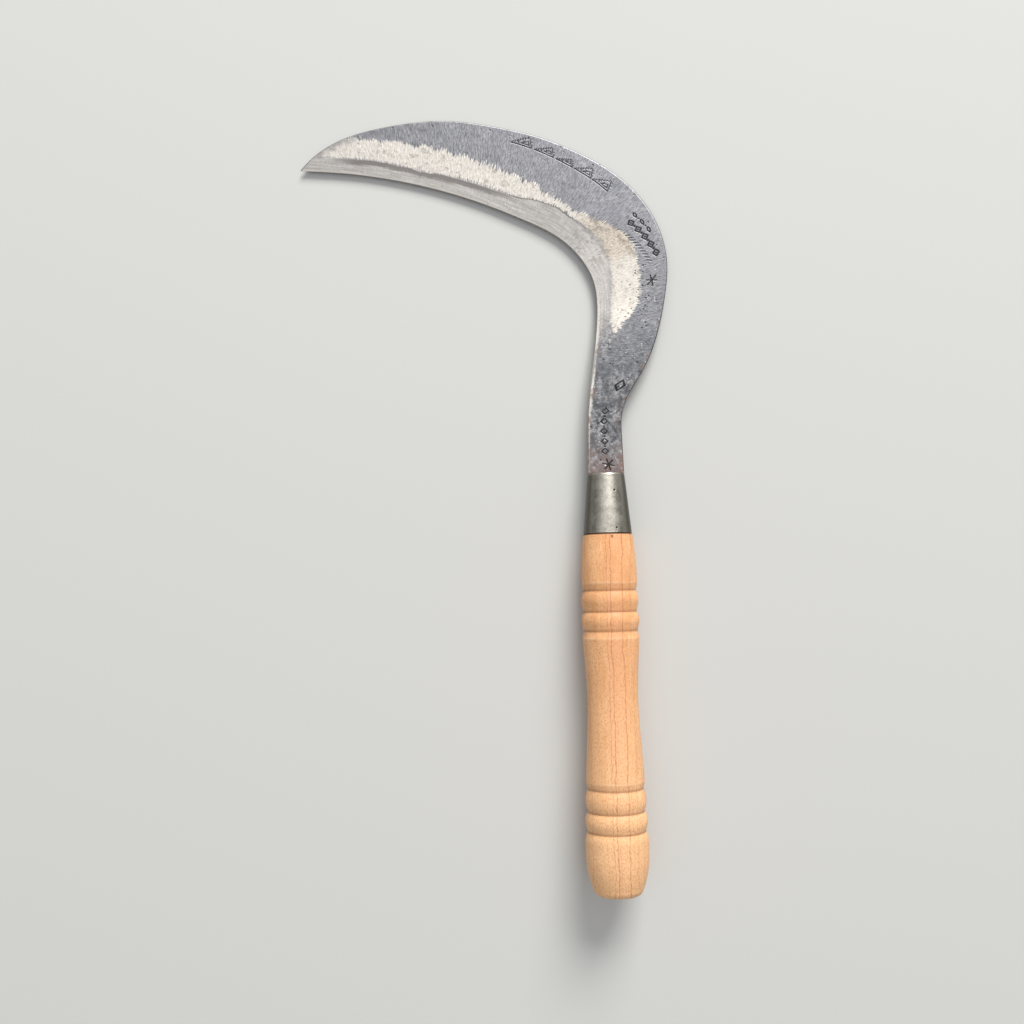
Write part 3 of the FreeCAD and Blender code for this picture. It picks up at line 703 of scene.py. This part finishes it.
def blade_piece(material):
    """One skin wrapped round the blade: over the top, round the spine, back below, up the edge's wall."""
    columns, upper_rows, round_rows, lower_rows, wall_rows = 520, 66, 6, 14, 2
    rows = upper_rows + round_rows + lower_rows + wall_rows
    marks = border_marks() + punched_marks() + stray_pits()
    table = np.linspace(0, SPINE_LENGTH, 1600)
    spine_at, edge_at = rib(table)
    width_at = np.linalg.norm(spine_at - edge_at, axis=1)

    def spread_out(verts):
        """Each vertex's distance along the spine, its row, and the blade's width there."""
        flat = np.array([(v.co.x, v.co.y) for v in verts])
        along = (flat[:, 0] + 1) / 2 * SPINE_LENGTH
        row_at = (flat[:, 1] + 1) / 2 * (rows - 1)
        return along, row_at, np.interp(along, table, width_at)

    def upper_place(verts):
        along, row_at, width = spread_out(verts)
        across = (width - rim_of(width)) * np.minimum(row_at / (upper_rows - 1), 1.5)
        return np.stack([along, width - across], -1)

    def rim_of(width):
        return np.minimum(SPINE_ROUND, width * 0.2)

    bm = bmesh.new()
    bmesh.ops.create_grid(bm, x_segments=columns, y_segments=rows - 1, size=1.0)
    for spread in (0.55, 0.25):
        verts = list(bm.verts)
        near = dict(zip(verts, struck(upper_place(verts), marks, spread)))
        top_row = (upper_rows - 1) / (rows - 1) * 2 - 1
        chosen = {edge for face in bm.faces if any(near[v] for v in face.verts)
                  and max(v.co.y for v in face.verts) <= top_row + 1e-4 for edge in face.edges}
        bmesh.ops.subdivide_edges(bm, edges=list(chosen), cuts=1, use_grid_fill=True)

    uv = bm.loops.layers.uv.new("blade_mm")
    layers = {name: bm.verts.layers.float.new(name)
              for name in ("past_coarse", "past_honed", "from_spine", "to_edge", "marked")}
    bm.verts.index_update()
    verts = list(bm.verts)
    along, row_at, width = spread_out(verts)
    rim = rim_of(width)
    up = row_at <= upper_rows - 1 + 1e-4
    below = row_at >= upper_rows + round_rows - 1e-4
    climb = np.maximum(row_at - (rows - wall_rows - 1), 0.0) / wall_rows
    turn = np.clip((row_at - upper_rows + 1) / (round_rows + 1), 0, 1) * math.pi
    across = np.where(up, (width - rim) * row_at / (upper_rows - 1), width - rim + rim * np.sin(turn))
    back = (rows - wall_rows - 1 - row_at) / (lower_rows - 1)
    across = np.where(below, (width - rim) * np.clip(back, 0, 1), across)

    coarse = read(COARSE, along)
    honed = np.minimum(read(HONED, along), coarse - 0.1)
    edge_z = read(EDGE_HEIGHT, along)
    top = BLADE_THICKNESS / 2
    honed_z = np.maximum(top - COARSE_SLOPE * (coarse - honed), edge_z + 0.2)
    ground = honed_z + (top - honed_z) * (across - honed) / (coarse - honed)
    over = np.where(across < honed, edge_z + (honed_z - edge_z) * across / honed, np.minimum(ground, top))
    middle, half = (over - top) / 2, (over + top) / 2
    underneath = -top + (edge_z + top) * climb
    height = np.where(up, over, np.where(below, underneath, middle + half * np.cos(turn)))
    unrolled = np.where(below, 2 * (width - rim) - across + 2 * top, width - rim + top - height)
    unrolled = np.where(up, across, np.where(climb > 0, -(height + top), unrolled))
    share = across / width
    spine = np.stack([np.interp(along, table, spine_at[:, i]) for i in (0, 1)], -1)
    edge = np.stack([np.interp(along, table, edge_at[:, i]) for i in (0, 1)], -1)
    flat = edge + (spine - edge) * share[:, None]
    marked = struck(np.stack([along, width - across], -1), marks) * up
    height = height - MARK_DEPTH * marked
    rubbed = np.maximum(honed, 8.2)
    face_side = up | (climb > 0.999)
    kept = {"past_coarse": np.where(face_side, coarse - across, -40.0),
            "past_honed": np.where(face_side, rubbed - across, -40.0),
            "from_spine": width - across, "to_edge": across, "marked": marked}
    for face in bm.faces:
        for loop in face.loops:
            k = loop.vert.index
            loop[uv].uv = (along[k], unrolled[k])
    for k, vert in enumerate(verts):
        x, y = flat[k]
        z = height[k]
        z += 0.06 * ripple(x, y, 0, 17.0, 3.0) + 0.025 * ripple(x, y, 0, 5.0, 9.0)
        vert.co = (x, y + FERRULE_LENGTH, z)
        for name, layer in layers.items():
            vert[layer] = kept[name][k]
    bmesh.ops.remove_doubles(bm, verts=bm.verts, dist=0.001)
    bmesh.ops.holes_fill(bm, edges=[e for e in bm.edges if e.is_boundary], sides=0)

    # The tang: a flat taper from the middle of the shoulders, deep into the handle.
    tang = bmesh.ops.create_cube(bm, size=1.0)["verts"]
    for vert in tang:
        deep = vert.co.y < 0
        wide, thick = TANG_END if deep else TANG_ROOT
        station = -TANG_DEPTH if deep else FERRULE_LENGTH + TANG_OVERLAP
        vert.co = (vert.co.x * wide, station, vert.co.z * thick)
    bmesh.ops.recalc_face_normals(bm, faces=bm.faces)
    return settle(bm, "blade_forging", "blade", material)


# --- ferrule and handle ------------------------------------------------------------------------


def spun(profile, steps):
    """A closed or open outline of (station, radius) spun round the handle's axis."""
    bm = bmesh.new()
    verts = [bm.verts.new((radius, station, 0)) for station, radius in profile]
    edges = [bm.edges.new(pair) for pair in zip(verts, verts[1:])]
    bmesh.ops.spin(bm, geom=verts + edges, cent=(0, 0, 0), axis=(0, 1, 0), angle=2 * math.pi,
                   steps=steps, use_merge=True)
    bmesh.ops.remove_doubles(bm, verts=bm.verts, dist=0.0005)
    bmesh.ops.recalc_face_normals(bm, faces=bm.faces)
    return bm


def arc_points(a, b, c, count):
    """Points on the circle through three points, from the first to the last."""
    (ax, ay), (bx, by), (cx, cy) = a, b, c
    d = 2 * (ax * (by - cy) + bx * (cy - ay) + cx * (ay - by))
    ux = ((ax**2 + ay**2) * (by - cy) + (bx**2 + by**2) * (cy - ay) + (cx**2 + cy**2) * (ay - by)) / d
    uy = ((ax**2 + ay**2) * (cx - bx) + (bx**2 + by**2) * (ax - cx) + (cx**2 + cy**2) * (bx - ax)) / d
    radius = math.hypot(ax - ux, ay - uy)
    start = math.atan2(ay - uy, ax - ux)
    end = math.atan2(cy - uy, cx - ux)
    sweep = (end - start + math.pi) % (2 * math.pi) - math.pi
    angles = [start + sweep * k / count for k in range(count + 1)]
    return [(ux + radius * math.cos(angle), uy + radius * math.sin(angle)) for angle in angles]


def ferrule_radius(station):
    return FERRULE_REAR + (FERRULE_FRONT - FERRULE_REAR) * station / FERRULE_LENGTH


def prick_depth_at(place):
    """How deep the nearer of the two prick-punch marks is here, from 0 to 1."""
    deepest = 0.0
    for station in PRICK_STATIONS:
        radius = ferrule_radius(station)
        middle = Vector((radius * math.sin(PRICK_ANGLE), station, radius * math.cos(PRICK_ANGLE)))
        deepest = max(deepest, 1.0 - (place - middle).length / PRICK_REACH)
    return deepest


def ferrule_piece(material):
    lip, rim = 0.85, 0.6
    outer_rows = 112
    outer = []
    for k in range(outer_rows + 1):
        station = rim + (FERRULE_LENGTH - lip - rim) * k / outer_rows
        outer.append((station, ferrule_radius(station)))
    front = [(FERRULE_LENGTH - lip + lip * math.sin(a), FERRULE_FRONT - lip + lip * math.cos(a))
             for a in np.linspace(0.2, math.pi / 2, 9)]
    back = [(rim - rim * math.sin(a), FERRULE_REAR - rim + rim * math.cos(a))
            for a in np.linspace(math.pi / 2, 0.2, 6)]
    bore = FERRULE_FRONT - FERRULE_WALL
    inner = [(FERRULE_LENGTH, bore + 0.15), (FERRULE_LENGTH - 0.25, bore),
             (0.0, FERRULE_REAR - FERRULE_WALL)]
    bm = spun(back + outer + front + inner + back[:1], 240)
    bright = bm.verts.layers.float.new("rim")
    grime = bm.verts.layers.float.new("grime")
    pricked = bm.verts.layers.float.new("pricked")
    for vert in bm.verts:
        # rim: a painted highlight along the front rim.
        vert[bright] = max(0.0, 1.0 - (FERRULE_LENGTH - vert.co.y) / 1.1)
        vert[grime] = max(0.0, 1.0 - vert.co.y / 0.6)
        vert[pricked] = prick_depth_at(vert.co)
        swell = 0.05 * ripple(*vert.co, 9.0, 20.0) - PRICK_DEPTH * vert[pricked]
        radial = Vector((vert.co.x, 0, vert.co.z))
        vert.co += radial.normalized() * swell
    return settle(bm, "ferrule_collar", "ferrule", material)


def handle_profile():
    """The turned outline, from the tenon inside the ferrule to the middle of the butt's face."""
    from_butt = lambda points: [(distance - HANDLE_LENGTH, radius) for distance, radius in points]
    back = lambda points: [(-distance, radius) for distance, radius in points]
    tenon_front = FERRULE_LENGTH - TENON_SETBACK
    inset = FERRULE_WALL + FIT_CLEARANCE
    parts = [[(tenon_front, 0.0), (tenon_front, ferrule_radius(tenon_front) - inset)],
             [(0.0, FERRULE_REAR - inset), (0.0, SHOULDER_RADIUS - 0.6)]]
    parts.append(arc_points(*back(FRONT_SWELL), 40))
    grooves = back(FRONT_GROOVES)
    beads = [back(bead) for bead in FRONT_BEADS]
    for groove, bead in zip(grooves, beads):
        parts.append(arc_points(groove, bead[0], bead[1], 16))
    parts.append([grooves[-1]])
    front = back([GRIP_FRONT])[0]
    rear = from_butt([GRIP_REAR])[0]
    waist = [(front[0] + share * (rear[0] - front[0]), radius)
             for share, radius in WAIST]
    parts.append([tuple(p) for p in flowing([front] + waist + [rear], 90)])
    grooves = from_butt(REAR_GROOVES)
    beads = [from_butt(bead) for bead in REAR_BEADS]
    for groove, bead in zip(grooves, beads):
        parts.append(arc_points(groove, bead[0], bead[1], 16))
    full = from_butt(BUTT_FULL)
    rise, barrel, corner, rounding = from_butt(BUTT_CURVE)
    parts.append(arc_points(grooves[-1], rise, full[0], 12))
    parts.append(full[1:])
    parts.append(arc_points(full[1], barrel, corner, 26))
    face = from_butt([(0.0, BUTT_FACE_RADIUS)])[0]
    parts.append(arc_points(corner, rounding, face, 10))
    parts.append([(face[0], BUTT_FACE_RADIUS * 0.5), (face[0], 0.0)])
    return [point for part in parts for point in part]


def thinned(profile):
    """The outline without points that lie on each other."""
    points = [profile[0]]
    for point in profile[1:]:
        if math.dist(points[-1], point) > 0.02:
            points.append(point)
    return points


def evened(profile, longest):
    """The outline with its long stretches divided."""
    points = [profile[0]]
    for a, b in zip(profile, profile[1:]):
        pieces = max(1, math.ceil(math.dist(a, b) / longest))
        points += [(a[0] + (b[0] - a[0]) * k / pieces, a[1] + (b[1] - a[1]) * k / pieces)
                   for k in range(1, pieces + 1)]
    return points


def softened(profile, size):
    """The outline with each crisp corner rounded off by about that much; the corners are given too."""
    points, corners = [profile[0]], []
    for before, here, after in zip(profile, profile[1:], profile[2:]):
        inward = Vector(here) - Vector(before)
        onward = Vector(after) - Vector(here)
        if abs(inward.angle_signed(onward)) < math.radians(11):
            points.append(here)
            continue
        cut = min(size, inward.length * 0.45, onward.length * 0.45)
        start = Vector(here) - inward.normalized() * cut
        end = Vector(here) + onward.normalized() * cut
        for t in (0.0, 0.25, 0.5, 0.75, 1.0):
            point = start * (1 - t) ** 2 + Vector(here) * 2 * t * (1 - t) + end * t * t
            points.append((point.x, point.y))
        corners.append((here[0], inward.angle_signed(onward)))
    return points + [profile[-1]], corners


def handle_piece(material):
    outline, corners = softened(thinned(handle_profile()), 0.35)
    bm = spun(evened(outline, 0.7), 176)
    groove = bm.verts.layers.float.new("groove")
    ridge = bm.verts.layers.float.new("ridge")
    cuts = [0.0, -31.8, -43.6, -54.2] + [d - HANDLE_LENGTH for d in (57.4, 45.0, 34.2)]
    crests = [station for station, _ in corners if min(abs(station - cut) for cut in cuts) > 1.0]
    for vert in bm.verts:
        away = min((vert.co.y - cut for cut in cuts), key=abs)
        # groove: painted shade in each V-cut, wider on its side towards the blade; at the ferrule's joint it
        # also gives the dark joint line.
        vert[groove] = max(0.0, 1.0 - abs(away) / (1.5 if 0 < away else 0.7))
        # ridge: a painted highlight on the bead crests, and lighter along the butt's last rim.
        near = min(abs(vert.co.y - crest) for crest in crests)
        level = max(0.0, 1.0 - near / 1.1, 1.0 - (vert.co.y + HANDLE_LENGTH) / 1.6)
        vert[ridge] = level if vert.co.y < -1.0 else 0.0
        x, y, z = vert.co
        if math.hypot(x, z) > FERRULE_REAR:
            vert.co += Vector((x, 0, z)).normalized() * 0.05 * ripple(x, y * 0.4, z, 8.0, 12.0)
    return settle(bm, "turned_handle", "handle", material)


# --- stage -------------------------------------------------------------------------------------


def stage():
    bm = bmesh.new()
    bmesh.ops.create_grid(bm, x_segments=1, y_segments=1, size=3.0)
    mesh = bpy.data.meshes.new("floor")
    bm.to_mesh(mesh)
    bm.free()
    floor = bpy.data.objects.new("floor", mesh)
    bpy.context.scene.collection.objects.link(floor)
    material, n, shader = new_material("pale_floor")
    shader.inputs["Base Color"].default_value = colour(0.60, 0.60, 0.585)
    shader.inputs["Roughness"].default_value = 0.85
    mesh.materials.append(material)

    # The room: brightest overhead, dim at half height, pale again along the walls.
    world = bpy.data.worlds.new("soft_room")
    world.use_nodes = True
    n = Nodes(world.node_tree)
    height = n.add("SeparateXYZ", {"Vector": n.add("TexCoord").outputs["Generated"]}).outputs[2]
    level = n.math("POWER", n.math("MAXIMUM", height, 0.0), 3.0)
    sky = world.node_tree.nodes["Background"]
    walls = n.math("POWER", n.math("SUBTRACT", 1.0, n.math("MAXIMUM", height, 0.0)), 4.0)
    level = n.math("ADD", n.math("MULTIPLY", level, 1.08), n.math("MULTIPLY", walls, 0.32))
    n.feed(sky.inputs["Strength"], n.math("ADD", level, 0.09))
    sky.inputs["Color"].default_value = colour(0.97, 0.985, 1.0)
    bpy.context.scene.world = world
    bpy.context.scene.view_settings.view_transform = "Standard"


def soft_light(name, place, aim, size, power, tint):
    light = bpy.data.lights.new(name, "AREA")
    light.shape = "RECTANGLE"
    light.size, light.size_y = size
    light.energy = power
    light.color = tint
    lamp = bpy.data.objects.new(name, light)
    lamp.location = place
    lamp.rotation_euler = (Vector(aim) - Vector(place)).to_track_quat("-Z", "Y").to_euler()
    bpy.context.scene.collection.objects.link(lamp)


def camera():
    view = bpy.data.cameras.new("overhead")
    view.angle = 2 * math.atan(HALF_FRAME / FOCAL_LENGTH)
    eye = bpy.data.objects.new("overhead", view)
    eye.location = CAMERA_PLACE
    eye.rotation_euler = [math.radians(a) for a in CAMERA_TURN]
    bpy.context.scene.collection.objects.link(eye)
    bpy.context.scene.camera = eye


blade_piece(steel_material())
ferrule_piece(ferrule_material())
handle_piece(wood_material())
stage()
soft_light("window", (1.15, 3.35, 2.35), (0.02, 0.0, 0), (1.9, 1.9), 218.0, (1.0, 0.985, 0.95))
camera()
